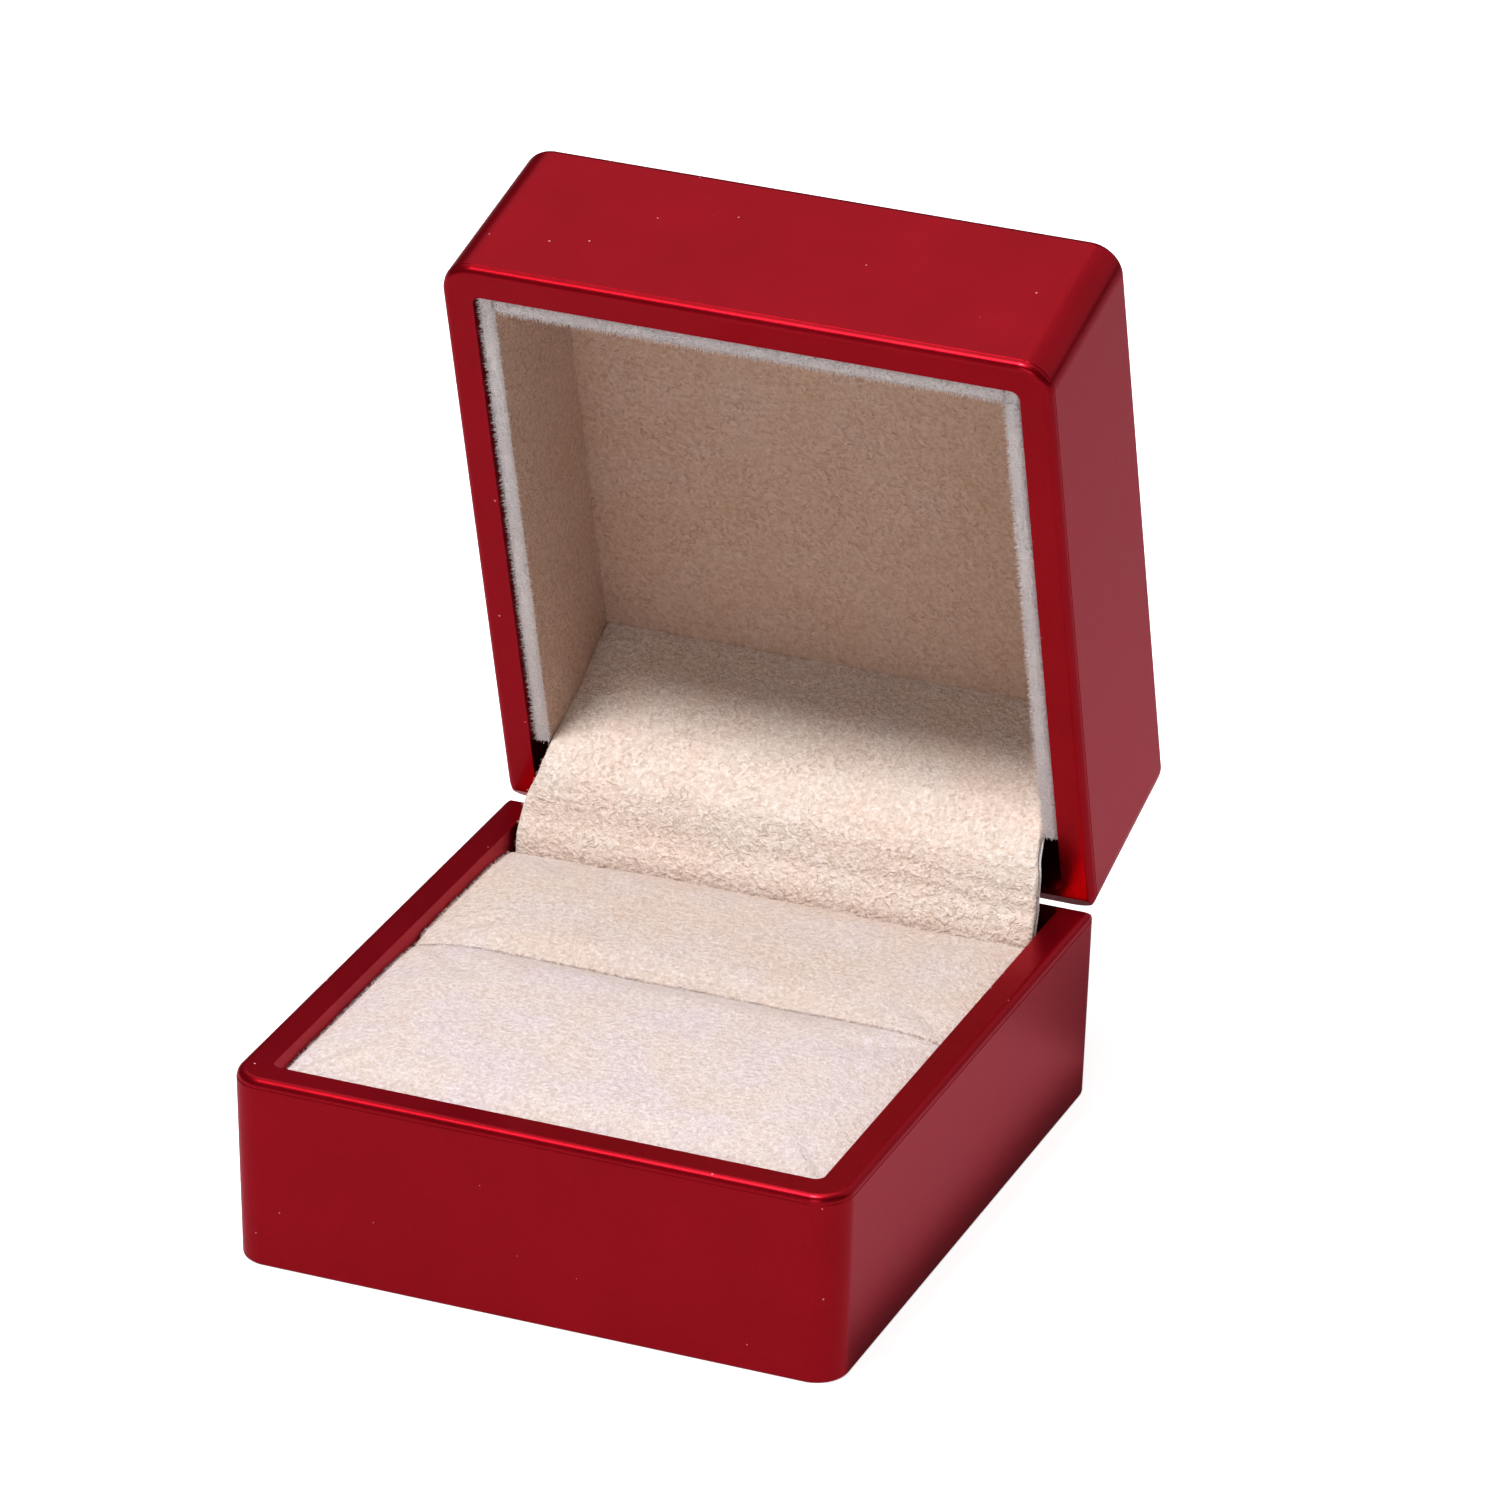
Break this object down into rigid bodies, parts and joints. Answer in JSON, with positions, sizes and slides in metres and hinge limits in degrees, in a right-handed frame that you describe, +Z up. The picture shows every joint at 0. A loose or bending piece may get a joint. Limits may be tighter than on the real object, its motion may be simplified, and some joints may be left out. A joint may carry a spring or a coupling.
{
  "type": "ring box",
  "caption": "Hinged lacquered ring box, standing open, with two velvet ring pads, a lined lid and a velvet curtain over its sprung steel hinge.",
  "frame": {"origin": "centre of the base's flat underside", "axes": "+Z up out of the base, +X to the right across the box along the hinge, -Y towards the user at the front; the lid stands open over the rear"},
  "size_m": [0.06, 0.0826, 0.0851],
  "materials": {
    "red_lacquer": "satin metallic red lacquer on moulded plastic",
    "cream_velvet": "short-pile cream velvet",
    "white_backing": "plain white woven backing",
    "grey_board": "stiff greyboard",
    "white_foam": "open-cell foam",
    "plated_steel": "nickel-plated stamped steel",
    "spring_steel": "tempered spring steel"
  },
  "bodies": {
    "base": {"base_shell": "red_lacquer", "pad_board": "grey_board", "front_pad_foam": "white_foam", "front_pad_cover": "cream_velvet", "rear_pad_foam": "white_foam", "rear_pad_cover": "cream_velvet", "base_hinge_leaf": "plated_steel", "base_leaf_screw_left": "plated_steel", "base_leaf_screw_right": "plated_steel", "hinge_pin": "plated_steel", "snap_spring": "spring_steel", "spring_rivet_left": "plated_steel", "spring_rivet_right": "plated_steel", "curtain_velvet": "cream_velvet", "curtain_backing": "white_backing"},
    "lid": {"lid_shell": "red_lacquer", "lid_panel_board": "grey_board", "lid_panel_velvet": "cream_velvet", "lid_left_liner_board": "grey_board", "lid_left_liner_velvet": "cream_velvet", "lid_right_liner_board": "grey_board", "lid_right_liner_velvet": "cream_velvet", "lid_front_liner_board": "grey_board", "lid_front_liner_velvet": "cream_velvet", "lid_rear_card": "grey_board", "lid_hinge_leaf": "plated_steel", "lid_leaf_screw_left": "plated_steel", "lid_leaf_screw_right": "plated_steel"}
  },
  "joints": [
    {"name": "lid_hinge", "type": "hinge", "parent": "base", "child": "lid", "pos_m": [0, 0.03056, 0.0195], "axis": [1, 0, 0], "range_deg": [0, 74.9], "deforming": ["curtain_velvet", "curtain_backing"]}
  ]
}
